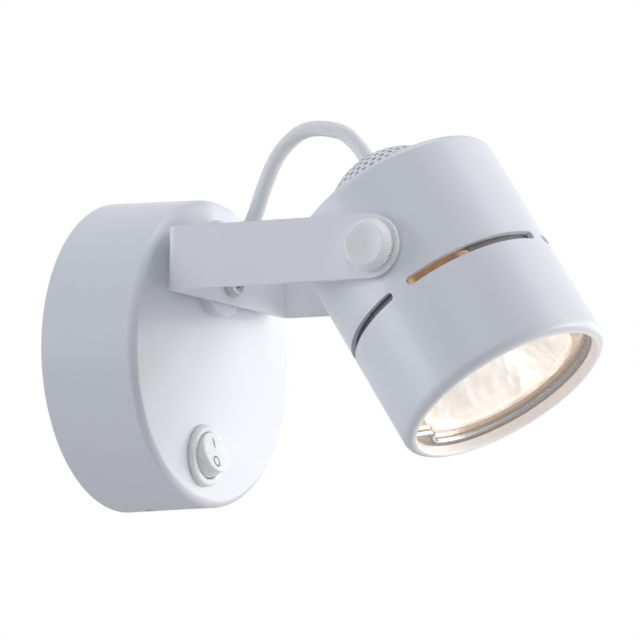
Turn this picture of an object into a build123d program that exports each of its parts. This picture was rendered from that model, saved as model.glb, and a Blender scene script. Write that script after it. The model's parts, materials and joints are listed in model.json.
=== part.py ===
from build123d import *
import math
import os

# White wall spotlight: a round base with a rocker switch, a U-shaped bracket and a tilting lamp head.
# Millimetres. The wall is the plane Y = 0, the light stands out along -Y, and +Z is up.
# The origin is the centre of the base's rim on the wall.

# Clearances
slip_fit = 0.05
running_fit = 0.08
rest_gap = 0.3

# Base cup
base_back_radius = 44.0
base_draft = 0.6
base_depth = 29.6
base_edge_radius = 2.2
base_wall = 1.6

# Wall strap behind the base, and the set screws that hold the cup on it
strap_width = 18.0
strap_thickness = 2.0
strap_ear_length = 16.0
strap_bend_radius = 3.0
wall_hole_radius = 2.6
wall_hole_pitch = 50.0
cover_screw_radius = 2.0
cover_screw_length = 6.0
cover_screw_y = 9.0
driver_slot_width = 0.8
driver_slot_depth = 1.0

# Terminal block and earth screw on the strap
block_length = 30.0
block_height = 15.0
block_depth = 12.5
block_z = -1.0
pole_pitch = 10.0
pole_count = 3
tube_radius = 2.6
tube_bore_radius = 1.6
tube_inset = 1.0
pole_screw_radius = 1.3
pole_screw_spread = 7.0
pole_screw_recess = 1.0
block_screw_radius = 1.5
block_screw_head_radius = 2.2
block_screw_head_height = 1.6
earth_x = 5.0
earth_z = 12.5
earth_screw_radius = 2.0
earth_head_radius = 3.5
earth_head_height = 2.4

# Round rocker switch in the base's front
switch_x = -4.4
switch_from_rim = 14.0
bezel_radius = 8.75
bezel_height = 1.9
bezel_edge_radius = 0.9
switch_body_radius = 7.9
switch_body_depth = 15.0
switch_pocket_depth = 7.0
rocker_half_width = 6.4
rocker_half_length = 5.9
rocker_side_gap = 0.2
rocker_end_gap = 0.3
rocker_foot_depth = 2.6
rocker_waist_depth = 0.6
rocker_crown = 3.6
rocker_edge_radius = 0.5
rocker_tip = 16.5
rocker_axis_height = 0.6
rocker_pin_radius = 0.8
rocker_pin_reach = 1.1
blade_width = 4.8
blade_thickness = 0.8
blade_length = 6.5
blade_spread = 7.0

# Swivel between the base and the bracket
swivel_below_bush = 14.3
boss_radius = 9.9
boss_height = 3.2
friction_washer_radius = 6.2
friction_washer_height = 0.5
swivel_shank_radius = 2.5
swivel_head_radius = 4.5
swivel_head_height = 2.4
swivel_recess_radius = 2.1
swivel_recess_width = 1.3
swivel_recess_depth = 1.6
swivel_washer_radius = 6.0
swivel_washer_height = 1.0
swivel_nut_width = 8.0
swivel_nut_height = 4.0
swivel_thread_past_nut = 1.0

# U-shaped bracket
strip_width = 17.6
strip_thickness = 1.5
strip_bend_radius = 1.8
arm_end_setback = 0.75
pivot_from_base = 68.0
pivot_above_swivel = 2.34

# Head, measured along its own axis from the tilt axis
head_tilt = 56.45
head_wall = 1.6
head_side_gap = 4.2
head_front_edge = 2.8
head_rear_edge = 2.3
lip_reach = 6.0
lip_step = 1.7
lip_depth = 2.8
lip_inner_edge = 0.8
slot_ahead = 14.4
slot_height = 2.5
slot_bridge = 10.0
slot_count = 4

# Perforated dome on the back of the head
dome_setback = 8.7
dome_height = 13.6
dome_wall = 0.8
dome_flange_gap = 1.9
dome_hole_radius = 0.8
dome_hole_pitch = 2.45
dome_hole_row_pitch = 2.15
dome_hole_start = -21.0
dome_plain_border = 0.6

# Flex and its bushes
flex_radius = 2.2
bush_from_rim = 8.8
bush_flange_radius = 3.4
bush_flange_height = 2.0
bush_neck_radius = 2.9
bush_inner_radius = 4.4
bush_inner_height = 1.6
collar_radius = 4.2
collar_height = 4.0
gland_flange_radius = 3.2
gland_flange_height = 1.0
gland_neck_radius = 2.65
gland_inner_radius = 4.2
gland_inner_height = 1.6
lead_radius = 0.9

# Route of the free flex in the plane X = 0, as (distance out from the bush's tip, rise above the bush)
flex_first_run = 7.6
flex_route = [(9.9, 2.4), (12.9, 11.4), (17.5, 21.7), (24.9, 27.3), (31.5, 27.9)]
flex_straight = 9.0

# Where the flex runs and ends inside the base, beside the terminal block
tail_first_run = 14.0
tail_last_run = 11.0
tail_side_step = 5.0
tail_end_x = 14.0
tail_end_y = -13.0
tail_end_z = 17.0

# Lamp, its holder and what keeps it in the head
lamp_front = 39.6
lamp_length = 45.5
lamp_rim_radius = 25.2
lamp_rim_height = 2.4
lamp_rim_land = 1.0
lamp_glass = 1.2
lamp_neck_radius = 13.0
lamp_neck_ahead = 9.0
lamp_base_radius = 9.5
lens_thickness = 2.0
capsule_radius = 4.5
capsule_length = 15.0
pin_spacing = 10.0
pin_radius = 1.5
pin_head_radius = 2.5
pin_head_height = 2.0
pin_length = 7.2
holder_radius = 13.5
holder_length = 11.2
holder_strap_width = 16.0
holder_strap_thickness = 1.2
holder_strap_end = 1.0
holder_strap_bore = 5.0
holder_screw_radius = 1.5
holder_screw_head_radius = 2.6
holder_screw_head_height = 1.6
front_ring_thickness = 0.8
front_ring_cover = 2.2
front_ring_gap = 0.3
wire_radius = 0.8
wire_loop_inset = 0.05
wire_gap_at = 267.2
wire_gap_angle = 2.2
wire_end_angle = 16.5
wire_end_inset = 3.3
baffle_thickness = 0.5
baffle_half_width = 5.0
baffle_start = 138.3
baffle_gap = 40.0

# Tilt pivots and thumb screws
insert_radius = 4.2
insert_flange_radius = 6.0
insert_flange_height = 1.4
insert_recess = 0.3
stud_radius = 2.0
stud_end_inside = 3.5
knob_radius = 7.25
knob_thickness = 4.2
knob_shoulder_drop = 2.8
knob_ridges = 60
knob_ridge_depth = 0.42
knob_crest_radius = 5.8
knob_crest_round = 0.4
knob_dish_depth = 0.4
knob_bore_depth = 2.6

# Values that follow from the sizes above
base_front_radius = base_back_radius - base_draft
bush_z = base_front_radius - bush_from_rim
switch_z = switch_from_rim - base_front_radius
switch_pocket_radius = rocker_half_width + rocker_side_gap
swivel_z = bush_z - swivel_below_bush
pivot_z = swivel_z + pivot_above_swivel
base_face = -base_depth
pivot_y = base_face - pivot_from_base
head_inner_radius = lamp_rim_radius + head_side_gap
head_radius = head_inner_radius + head_wall
lip_opening_radius = head_inner_radius - lip_step
wire_loop_radius = lip_opening_radius - wire_loop_inset
front_ring_opening = lamp_rim_radius - front_ring_cover
dome_flange_radius = head_inner_radius - dome_flange_gap
dome_radius = head_inner_radius - dome_setback
holder_screw_reach = (dome_radius + dome_flange_radius) / 2
head_front = lamp_front + lip_reach
head_rear = lamp_length - lamp_front + rest_gap + holder_length + holder_strap_thickness + dome_wall + head_wall
base_inside = -(base_depth - base_wall)
boss_face = base_face - boss_height
web_back = boss_face - friction_washer_height
web_front = web_back - strip_thickness
arm_inside = head_radius + rest_gap
arm_outside = arm_inside + strip_thickness
bush_tip = base_face - bush_flange_height
dome_ball_radius = (dome_radius**2 + dome_height**2) / (2 * dome_height)
dome_centre = -(head_rear + dome_height) + dome_ball_radius
dome_apex = -(head_rear + dome_height)
gland_tip = dome_apex - gland_flange_height
head_rear_inside = -head_rear + head_wall
tilt = math.radians(head_tilt)
head_place = Plane(
    origin=(0, pivot_y, pivot_z),
    x_dir=(1, 0, 0),
    z_dir=(0, -math.cos(tilt), -math.sin(tilt)),
).location


def cylinder_y(radius, y_from, y_to, x=0.0, z=0.0):
    """Round bar along Y between two planes."""
    return Pos(x, (y_from + y_to) / 2, z) * Rot(90, 0, 0) * Cylinder(radius, abs(y_to - y_from))


def cylinder_x(radius, x_from, x_to, y=0.0, z=0.0):
    """Round bar along X between two planes."""
    return Pos((x_from + x_to) / 2, y, z) * Rot(0, 90, 0) * Cylinder(radius, abs(x_to - x_from))


def cylinder_z(radius, z_from, z_to, x=0.0, y=0.0):
    """Round bar along Z between two planes."""
    return Pos(x, y, (z_from + z_to) / 2) * Cylinder(radius, abs(z_to - z_from))


def turned_z(points, radii=None):
    """Solid of revolution about Z from corners (radius, z), each with its own rounding."""
    corners = [(r, 0, z) for r, z in points]
    outline = FilletPolyline(*corners, radius=radii or [0] * len(corners), close=True)
    return revolve(make_face(outline), Axis.Z)


def turned_y(points, radii=None, x=0.0, z=0.0):
    """Solid of revolution about an axis along -Y from corners (radius, distance out from the wall)."""
    return Pos(x, 0, z) * Rot(90, 0, 0) * turned_z(points, radii)


def hexagon_bar(width, y_from, y_to, z):
    """Six-sided bar along Y, measured across its flats."""
    face = RegularPolygon(width / math.sqrt(3), 6)
    return Pos(0, max(y_from, y_to), z) * Rot(90, 0, 0) * extrude(face, abs(y_to - y_from))


def route_radii(points):
    """The largest arc that each corner of a route has room for."""
    places = [Vector(*p) for p in points]
    radii = []
    for before, here, after in zip(places, places[1:], places[2:]):
        turn = math.radians((here - before).get_angle(after - here))
        shorter = min((here - before).length, (after - here).length)
        radii.append(0.45 * shorter / math.tan(turn / 2))
    return radii


def tube(points, radius, name):
    """Round tube along straight runs joined by tangent arcs."""
    radii = route_radii(points)
    path = FilletPolyline(*points, radius=radii)
    start = Plane(origin=path @ 0, z_dir=path % 0)
    solid = sweep(start * Circle(radius), path=path)
    share = solid.volume / (math.pi * radius**2 * path.length)
    print(name, "length", round(path.length, 2), "radii", [round(r, 1) for r in radii], "fill", round(share, 4))
    return solid


def cup_radius(y):
    """Outer radius of the base cup at a distance out from the wall."""
    return base_back_radius + (base_front_radius - base_back_radius) * y / base_depth


def strap_reach():
    """Half height of the wall strap: its corners stay just inside the cup."""
    inside = min(cup_radius(0), cup_radius(strap_ear_length)) - base_wall
    return math.sqrt(inside**2 - (strap_width / 2) ** 2) - rest_gap


def base_shell():
    inner_edge = max(base_edge_radius - base_wall, 0.2)
    shell = turned_y(
        [
            (base_back_radius, 0),
            (base_front_radius, base_depth),
            (0, base_depth),
            (0, base_depth - base_wall),
            (base_front_radius - base_wall, base_depth - base_wall),
            (base_back_radius - base_wall, 0),
        ],
        [0, base_edge_radius, 0, 0, inner_edge, 0],
    )
    through = base_wall + 1
    shell -= cylinder_y(bush_neck_radius + slip_fit, base_inside + 1, base_face - through, z=bush_z)
    shell -= cylinder_y(swivel_shank_radius + slip_fit, base_inside + 1, base_face - through, z=swivel_z)
    shell -= cylinder_y(
        switch_body_radius + slip_fit, base_inside + 1, base_face - through, switch_x, switch_z
    )
    hole = cover_screw_radius + 2 * slip_fit
    reach = max(base_back_radius, base_front_radius) + 1
    shell -= cylinder_z(hole, -reach, reach, y=-cover_screw_y)
    return shell


def wall_strap():
    reach = strap_reach()
    inside = reach - strap_thickness
    outline = FilletPolyline(
        (0, 0, -reach),
        (0, 0, reach),
        (0, -strap_ear_length, reach),
        (0, -strap_ear_length, inside),
        (0, -strap_thickness, inside),
        (0, -strap_thickness, -inside),
        (0, -strap_ear_length, -inside),
        (0, -strap_ear_length, -reach),
        radius=[strap_bend_radius, strap_bend_radius, 0, 0] + [strap_bend_radius - strap_thickness] * 2 + [0, 0],
        close=True,
    )
    bar = extrude(make_face(outline), strap_width / 2, dir=(1, 0, 0), both=True)
    for side in (-1, 1):
        bar -= cylinder_y(wall_hole_radius, 1, -strap_thickness - 1, z=side * wall_hole_pitch / 2)
    bar -= cylinder_z(cover_screw_radius + slip_fit, -reach - 1, reach + 1, y=-cover_screw_y)
    bar -= cylinder_y(block_screw_radius + slip_fit, 1, -strap_thickness - 1, pole_pitch / 2, block_z)
    bar -= cylinder_y(earth_screw_radius + slip_fit, 1, -strap_thickness - 1, earth_x, earth_z)
    return bar


def cover_screws():
    outer = cup_radius(cover_screw_y) - rest_gap
    screw = cylinder_z(cover_screw_radius, outer - cover_screw_length, outer, y=-cover_screw_y)
    slot = Box(2 * cover_screw_radius + 1, driver_slot_width, 2 * driver_slot_depth)
    screw -= Pos(0, -cover_screw_y, outer) * slot
    return [screw, mirror(screw, Plane.XY)]


def pole_places():
    first = -pole_pitch * (pole_count - 1) / 2
    return [first + pole_pitch * i for i in range(pole_count)]


def pole_axis_y():
    return -strap_thickness - block_depth / 2


def terminal_block():
    front = -strap_thickness - block_depth
    body = Pos(0, pole_axis_y(), block_z) * Box(block_length, block_depth, block_height)
    top = block_z + block_height / 2 + 1
    bottom = block_z - block_height / 2 - 1
    for x in pole_places():
        body -= cylinder_z(tube_radius + slip_fit, bottom, top, x, pole_axis_y())
        for side in (-1, 1):
            z = block_z + side * pole_screw_spread / 2
            body -= cylinder_y(pole_screw_radius + 2 * slip_fit, pole_axis_y(), front - 1, x, z)
    x = pole_pitch / 2
    body -= cylinder_y(block_screw_radius + slip_fit, 0, front - 1, x, block_z)
    head = block_screw_head_radius + 2 * slip_fit
    body -= cylinder_y(head, front + block_screw_head_height, front - 1, x, block_z)
    return body


def terminal_tubes():
    top = block_z + block_height / 2 - tube_inset
    bottom = block_z - block_height / 2 + tube_inset
    tubes = []
    for x in pole_places():
        piece = cylinder_z(tube_radius, bottom, top, x, pole_axis_y())
        piece -= cylinder_z(tube_bore_radius, bottom - 1, top + 1, x, pole_axis_y())
        for side in (-1, 1):
            z = block_z + side * pole_screw_spread / 2
            front = pole_axis_y() - tube_radius - 1
            piece -= cylinder_y(pole_screw_radius + slip_fit, pole_axis_y(), front, x, z)
        tubes.append(piece)
    return tubes


def terminal_screws():
    outer = -strap_thickness - block_depth + pole_screw_recess
    tip = pole_axis_y() - lead_radius - slip_fit
    screws = []
    for x in pole_places():
        for side in (-1, 1):
            z = block_z + side * pole_screw_spread / 2
            screw = cylinder_y(pole_screw_radius, tip, outer, x, z)
            screw -= Pos(x, outer, z) * Box(4 * pole_screw_radius, driver_slot_depth, driver_slot_width)
            screws.append(screw)
    return screws


def block_screw():
    front = -strap_thickness - block_depth
    x = pole_pitch / 2
    screw = cylinder_y(block_screw_radius, -rest_gap, front + block_screw_head_height, x, block_z)
    screw += cylinder_y(block_screw_head_radius, front + block_screw_head_height, front, x, block_z)
    screw -= Pos(x, front, block_z) * Box(6 * block_screw_radius, driver_slot_depth, driver_slot_width)
    return screw


def earth_screw():
    top = -strap_thickness - earth_head_height
    screw = cylinder_y(earth_screw_radius, -rest_gap, -strap_thickness, earth_x, earth_z)
    screw += cylinder_y(earth_head_radius, -strap_thickness, top, earth_x, earth_z)
    screw -= Pos(earth_x, top, earth_z) * Box(3 * earth_head_radius, driver_slot_depth, driver_slot_width)
    return screw


def rocker_axis():
    return base_face - rocker_axis_height


def switch_body():
    front = base_depth + bezel_height
    back = base_depth - switch_body_depth
    floor = front - switch_pocket_depth
    body = turned_y(
        [
            (0, back),
            (switch_body_radius, back),
            (switch_body_radius, base_depth),
            (bezel_radius, base_depth),
            (bezel_radius, front),
            (switch_pocket_radius, front),
            (switch_pocket_radius, floor),
            (0, floor),
        ],
        [0, 0, 0, 0, bezel_edge_radius, 0.3, 0, 0],
        switch_x,
        switch_z,
    )
    reach = rocker_half_width + rocker_pin_reach + rest_gap / 2
    body -= cylinder_x(
        rocker_pin_radius + running_fit, switch_x - reach, switch_x + reach, rocker_axis(), switch_z
    )
    slot = Box(blade_thickness + 2 * slip_fit, 2 * blade_thickness, blade_width + 2 * slip_fit)
    for side in (-1, 1):
        body -= Pos(switch_x + side * blade_spread / 2, -back, switch_z) * slot
    return body


def switch_terminals():
    back = -(base_depth - switch_body_depth)
    root = back - blade_thickness
    blades = []
    for side in (-1, 1):
        length = blade_length + blade_thickness
        blade = Box(blade_thickness, length, blade_width)
        blades.append(Pos(switch_x + side * blade_spread / 2, root + length / 2, switch_z) * blade)
    return blades


def switch_rocker():
    """Built level about its own axis, then tipped to ON with the upper half in. A ball fills the pocket."""
    plan = Ellipse(rocker_half_width, rocker_half_length)
    key = Pos(0, rocker_waist_depth, 0) * Rot(90, 0, 0) * extrude(plan, rocker_waist_depth + rocker_crown)
    key = fillet(key.edges().sort_by(Axis.Y)[0], rocker_edge_radius)
    ball = Sphere(switch_pocket_radius - rocker_end_gap)
    key += ball & cylinder_y(switch_pocket_radius, rocker_foot_depth, rocker_edge_radius - rocker_crown)
    pin_end = rocker_half_width + rocker_pin_reach
    key += cylinder_x(rocker_pin_radius, -pin_end, pin_end)
    return Pos(switch_x, rocker_axis(), switch_z) * Rot(-rocker_tip, 0, 0) * key


def cable_bush():
    inner = base_depth - base_wall - bush_inner_height
    return turned_y(
        [
            (flex_radius + slip_fit, inner),
            (bush_inner_radius, inner),
            (bush_inner_radius, base_depth - base_wall),
            (bush_neck_radius, base_depth - base_wall),
            (bush_neck_radius, base_depth),
            (bush_flange_radius, base_depth),
            (bush_flange_radius, base_depth + bush_flange_height),
            (flex_radius + slip_fit, base_depth + bush_flange_height),
        ],
        [0, 0, 0, 0, 0, 0, min(0.7, bush_flange_radius - flex_radius - 0.2), 0],
        z=bush_z,
    )


def flex_collar():
    start = base_depth - base_wall - bush_inner_height
    collar = cylinder_y(collar_radius, -start, -start + collar_height, z=bush_z)
    return collar - cylinder_y(flex_radius + slip_fit, -start - 1, -start + collar_height + 1, z=bush_z)


def flex_tail_base():
    points = [
        (0, bush_tip, bush_z),
        (0, bush_tip + tail_first_run, bush_z),
        (tail_side_step, tail_end_y, bush_z - 1.0),
        (tail_end_x, tail_end_y, tail_end_z + tail_last_run),
        (tail_end_x, tail_end_y, tail_end_z),
    ]
    return tube(points, flex_radius, "flex_tail_base")


def base_leads():
    """Three insulated wires: flex to block, flex to switch, block to switch."""
    half = flex_radius / 2
    block_top = block_z + block_height / 2
    block_bottom = block_z - block_height / 2
    blade_top = switch_z + blade_width / 2
    blade_y = -(base_depth - switch_body_depth) + blade_length / 2
    right_pole = pole_places()[-1]
    left_pole = pole_places()[0]
    outside = block_length / 2 + 3 * lead_radius
    neutral = [
        (tail_end_x - half, tail_end_y, tail_end_z),
        (tail_end_x - half, tail_end_y, block_top + 5.5),
        (right_pole, pole_axis_y(), block_top + 3.0),
        (right_pole, pole_axis_y(), block_z),
    ]
    switched = [
        (tail_end_x + half, tail_end_y, tail_end_z),
        (tail_end_x + half, tail_end_y, tail_end_z - 5.0),
        (outside, tail_end_y, block_top - 3.0),
        (outside, tail_end_y, block_bottom),
        (switch_x + blade_spread / 2 + 5.0, blade_y, blade_top + 6.0),
        (switch_x + blade_spread / 2, blade_y, blade_top + 4.0),
        (switch_x + blade_spread / 2, blade_y, blade_top),
    ]
    live = [
        (left_pole, pole_axis_y(), block_z),
        (left_pole, pole_axis_y(), block_bottom - 3.0),
        (switch_x - blade_spread / 2, blade_y, blade_top + 4.0),
        (switch_x - blade_spread / 2, blade_y, blade_top),
    ]
    wires = {"neutral": neutral, "switched": switched, "live": live}
    return [tube(points, lead_radius, "base lead " + name) for name, points in wires.items()]


def swivel_boss():
    boss = turned_y(
        [
            (swivel_shank_radius + slip_fit, base_depth),
            (boss_radius, base_depth),
            (boss_radius, -boss_face),
            (swivel_shank_radius + slip_fit, -boss_face),
        ],
        [0, 0, 0.5, 0],
        z=swivel_z,
    )
    return boss


def friction_washer():
    washer = cylinder_y(friction_washer_radius, boss_face, web_back, z=swivel_z)
    return washer - cylinder_y(swivel_shank_radius + slip_fit, boss_face + 1, web_back - 1, z=swivel_z)


def swivel_nut_back():
    return base_inside + swivel_washer_height


def swivel_screw():
    tip = swivel_nut_back() + swivel_nut_height + swivel_thread_past_nut
    top = web_front - swivel_head_height
    screw = turned_y(
        [
            (0, -tip),
            (swivel_shank_radius, -tip),
            (swivel_shank_radius, -web_front),
            (swivel_head_radius, -web_front),
            (swivel_head_radius, -top),
            (0, -top),
        ],
        [0, 0.4, 0, 0, 0.7 * swivel_head_height, 0],
        z=swivel_z,
    )
    bar = Box(2 * swivel_recess_radius, 2 * swivel_recess_depth, swivel_recess_width)
    cross = bar + Rot(0, 90, 0) * bar
    return screw - Pos(0, top, swivel_z) * cross


def swivel_washer():
    washer = cylinder_y(swivel_washer_radius, base_inside, swivel_nut_back(), z=swivel_z)
    return washer - cylinder_y(swivel_shank_radius + slip_fit, base_inside - 1, swivel_nut_back() + 1, z=swivel_z)


def swivel_nut():
    back = swivel_nut_back()
    nut = hexagon_bar(swivel_nut_width, back, back + swivel_nut_height, swivel_z)
    return nut - cylinder_y(swivel_shank_radius + slip_fit, back - 1, back + swivel_nut_height + 1, z=swivel_z)


def u_bracket():
    inner_bend = strip_bend_radius - strip_thickness
    end_centre = pivot_y + arm_end_setback
    outline = FilletPolyline(
        (-arm_outside, end_centre, 0),
        (-arm_outside, web_back, 0),
        (arm_outside, web_back, 0),
        (arm_outside, end_centre, 0),
        (arm_inside, end_centre, 0),
        (arm_inside, web_front, 0),
        (-arm_inside, web_front, 0),
        (-arm_inside, end_centre, 0),
        radius=[0, strip_bend_radius, strip_bend_radius, 0, 0, inner_bend, inner_bend, 0],
        close=True,
    )
    bracket = Pos(0, 0, pivot_z) * extrude(make_face(outline), strip_width / 2, both=True)
    for side in (-1, 1):
        bracket += cylinder_x(strip_width / 2, side * arm_inside, side * arm_outside, end_centre, pivot_z)
    reach = arm_outside + 1
    bracket -= cylinder_x(stud_radius + running_fit, -reach, reach, pivot_y, pivot_z)
    bracket -= cylinder_y(swivel_shank_radius + running_fit, web_back + 1, web_front - 1, z=swivel_z)
    return bracket


def head_shell():
    lip_back = head_front - lip_depth
    step = head_inner_radius - lip_opening_radius
    shell = turned_z(
        [
            (head_radius, -head_rear),
            (head_radius, head_front),
            (lip_opening_radius, head_front),
            (lip_opening_radius, lip_back),
            (head_inner_radius, lip_back - step / 2),
            (head_inner_radius, head_rear_inside),
            (dome_radius + slip_fit, head_rear_inside),
            (dome_radius + slip_fit, -head_rear),
        ],
        [head_rear_edge, head_front_edge, min(lip_inner_edge, 0.4 * lip_depth), 0, 0, 0, 0, 0],
    )
    end = math.degrees(slot_height / 2 / head_radius)
    sweep_angle = 360 / slot_count - slot_bridge - 2 * end
    low, high = head_inner_radius - 1, head_radius + 1
    outline = Polyline(
        (low, 0, slot_ahead - slot_height / 2),
        (high, 0, slot_ahead - slot_height / 2),
        (high, 0, slot_ahead + slot_height / 2),
        (low, 0, slot_ahead + slot_height / 2),
        close=True,
    )
    slot = revolve(make_face(outline), Axis.Z, sweep_angle)
    for i in range(slot_count):
        start = i * 360 / slot_count + slot_bridge / 2 + end
        shell -= Rot(0, 0, start) * slot
        for angle in (start, start + sweep_angle):
            shell -= Rot(0, 0, angle) * cylinder_x(slot_height / 2, low, high, z=slot_ahead)
    hole = insert_radius + slip_fit
    for side in (-1, 1):
        shell -= cylinder_x(hole, side * (head_inner_radius - 2), side * (head_radius + 1))
        shell -= cylinder_z(
            holder_screw_radius + slip_fit, -head_rear - 1, head_rear_inside + 1, side * holder_screw_reach
        )
    return head_place * shell


def dome_holes(dome_inner_reach):
    """Staggered rings of holes over the dome, each pointing at the ball's centre."""
    depth = 6 * dome_wall
    spread = depth / 2 / dome_ball_radius
    cone = Cone(dome_hole_radius * (1 + spread), dome_hole_radius * (1 - spread), depth)
    drill = Pos(0, 0, -dome_ball_radius) * cone
    rim_angle = math.asin(dome_radius / dome_ball_radius)
    last = rim_angle - (dome_plain_border + dome_hole_radius) / dome_ball_radius
    first = (dome_inner_reach + dome_plain_border + dome_hole_radius) / dome_ball_radius
    rows = int((last - first) * dome_ball_radius / dome_hole_row_pitch) + 1
    holes = []
    for row in range(rows):
        polar = last - (last - first) * row / (rows - 1)
        count = int(2 * math.pi * dome_ball_radius * math.sin(polar) / dome_hole_pitch)
        for i in range(count):
            turn = dome_hole_start + 360 * (i + 0.5 * (row % 2)) / count
            holes.append(Pos(0, 0, dome_centre) * Rot(0, 0, turn) * Rot(0, math.degrees(polar), 0) * drill)
    return holes


def rear_dome():
    inner_ball = dome_ball_radius - dome_wall
    neck = gland_neck_radius + slip_fit

    def on_ball(radius, ball):
        return (radius, 0, dome_centre - math.sqrt(ball**2 - radius**2))

    skirt = dome_radius - dome_wall
    flange_top = head_rear_inside + dome_wall
    outer_rim = (dome_radius, 0, -head_rear)
    inner_rim = on_ball(skirt, inner_ball)
    outline = [
        ThreePointArc(on_ball(neck, dome_ball_radius), on_ball(0.6 * dome_radius, dome_ball_radius), outer_rim),
        Line(outer_rim, (dome_radius, 0, head_rear_inside)),
        Line((dome_radius, 0, head_rear_inside), (dome_flange_radius, 0, head_rear_inside)),
        Line((dome_flange_radius, 0, head_rear_inside), (dome_flange_radius, 0, flange_top)),
        Line((dome_flange_radius, 0, flange_top), (skirt, 0, flange_top)),
        Line((skirt, 0, flange_top), inner_rim),
        ThreePointArc(inner_rim, on_ball(0.6 * dome_radius, inner_ball), on_ball(neck, inner_ball)),
        Line(on_ball(neck, inner_ball), on_ball(neck, dome_ball_radius)),
    ]
    dome = revolve(make_face(outline), Axis.Z)
    for side in (-1, 1):
        dome -= cylinder_z(
            holder_screw_radius + slip_fit, head_rear_inside - 1, flange_top + 1, side * holder_screw_reach
        )
    dome -= dome_holes(max(gland_flange_radius, gland_inner_radius))
    return head_place * dome


def dome_gland():
    ball = dome_ball_radius - dome_wall
    inner_start = dome_centre - math.sqrt(ball**2 - gland_inner_radius**2) + slip_fit
    bore = flex_radius + slip_fit
    gland = turned_z(
        [
            (bore, gland_tip),
            (gland_flange_radius, gland_tip),
            (gland_flange_radius, dome_apex),
            (gland_neck_radius, dome_apex),
            (gland_neck_radius, inner_start),
            (gland_inner_radius, inner_start),
            (gland_inner_radius, inner_start + gland_inner_height),
            (bore, inner_start + gland_inner_height),
        ],
        [0, min(1.2, gland_flange_radius - bore - 0.2), 0, 0, 0, 0, 0, 0],
    )
    return head_place * gland


def flex_head_end():
    return dome_centre - dome_ball_radius + dome_wall + gland_inner_height + 2.5


def flex_tail_head():
    return head_place * cylinder_z(flex_radius, gland_tip, flex_head_end())


def holder_back():
    return head_rear_inside + dome_wall + holder_strap_thickness


def lamp_back():
    return lamp_front - lamp_length


def head_leads():
    half = flex_radius / 2
    wires = []
    for side in (-1, 1):
        reach = holder_strap_bore - 2 * lead_radius
        points = [
            (side * half, 0, flex_head_end()),
            (side * half, 0, flex_head_end() + 2.5),
            (side * reach, 0, holder_back() - 3.5),
            (side * reach, 0, holder_back()),
        ]
        wires.append(head_place * tube(points, lead_radius, "head lead"))
    return wires


def holder_bracket():
    bottom = head_rear_inside + dome_wall
    length = 2 * (dome_flange_radius - holder_strap_end)
    strap = Pos(0, 0, bottom + holder_strap_thickness / 2) * Box(
        length, holder_strap_width, holder_strap_thickness
    )
    strap &= cylinder_z(dome_flange_radius, bottom - 1, bottom + holder_strap_thickness + 1)
    strap -= cylinder_z(holder_strap_bore, bottom - 1, bottom + holder_strap_thickness + 1)
    for side in (-1, 1):
        strap -= cylinder_z(
            holder_screw_radius + slip_fit,
            bottom - 1,
            bottom + holder_strap_thickness + 1,
            side * holder_screw_reach,
        )
    return head_place * strap


def holder_screws():
    screws = []
    top = holder_back() + holder_screw_head_height
    for side in (-1, 1):
        x = side * holder_screw_reach
        screw = cylinder_z(holder_screw_radius, -head_rear + rest_gap, holder_back(), x)
        screw += cylinder_z(holder_screw_head_radius, holder_back(), top, x)
        screw -= Pos(x, 0, top) * Box(driver_slot_width, 3 * holder_screw_head_radius, driver_slot_depth)
        screws.append(head_place * screw)
    return screws


def lamp_holder():
    front = lamp_back() - rest_gap
    holder = turned_z(
        [(0, holder_back()), (holder_radius, holder_back()), (holder_radius, front), (0, front)],
        [0, 0, 1.5, 0],
    )
    depth = front - pin_length - rest_gap
    for side in (-1, 1):
        holder -= cylinder_z(pin_head_radius + 2 * slip_fit, depth, front + 1, side * pin_spacing / 2)
    return head_place * holder


def lamp_base():
    """Ceramic foot of the lamp, from its pin face up to the glass reflector's neck."""
    neck_inside = lamp_neck_radius - lamp_glass
    foot = turned_z(
        [
            (0, lamp_back()),
            (lamp_base_radius, lamp_back()),
            (lamp_base_radius + 1, lamp_back() + 6.0),
            (neck_inside - slip_fit, lamp_neck_ahead),
            (capsule_radius + slip_fit, lamp_neck_ahead),
            (capsule_radius + slip_fit, lamp_neck_ahead - 2.0),
            (0, lamp_neck_ahead - 2.0),
        ],
        [0, 0.8, 0, 0, 0, 0, 0],
    )
    for side in (-1, 1):
        foot -= cylinder_z(
            pin_radius + slip_fit, lamp_back() - 1, lamp_back() + 2 * pin_radius, side * pin_spacing / 2
        )
    return head_place * foot


def lamp_pins():
    pins = []
    for side in (-1, 1):
        x = side * pin_spacing / 2
        tip = lamp_back() - pin_length
        pin = cylinder_z(pin_radius, tip + pin_head_height, lamp_back() + 2 * pin_radius - slip_fit, x)
        pin += cylinder_z(pin_head_radius, tip, tip + pin_head_height, x)
        pins.append(head_place * pin)
    return pins


def reflector_radius(s):
    """Outer radius of the glass bowl at a distance ahead of the tilt axis: a parabola between neck and rim."""
    rim_back = lamp_front - lamp_rim_height
    share = (s - lamp_neck_ahead) / (rim_back - lamp_neck_ahead)
    bowl_rim = lamp_rim_radius - lamp_rim_land
    return math.sqrt(lamp_neck_radius**2 + share * (bowl_rim**2 - lamp_neck_radius**2))


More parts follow.
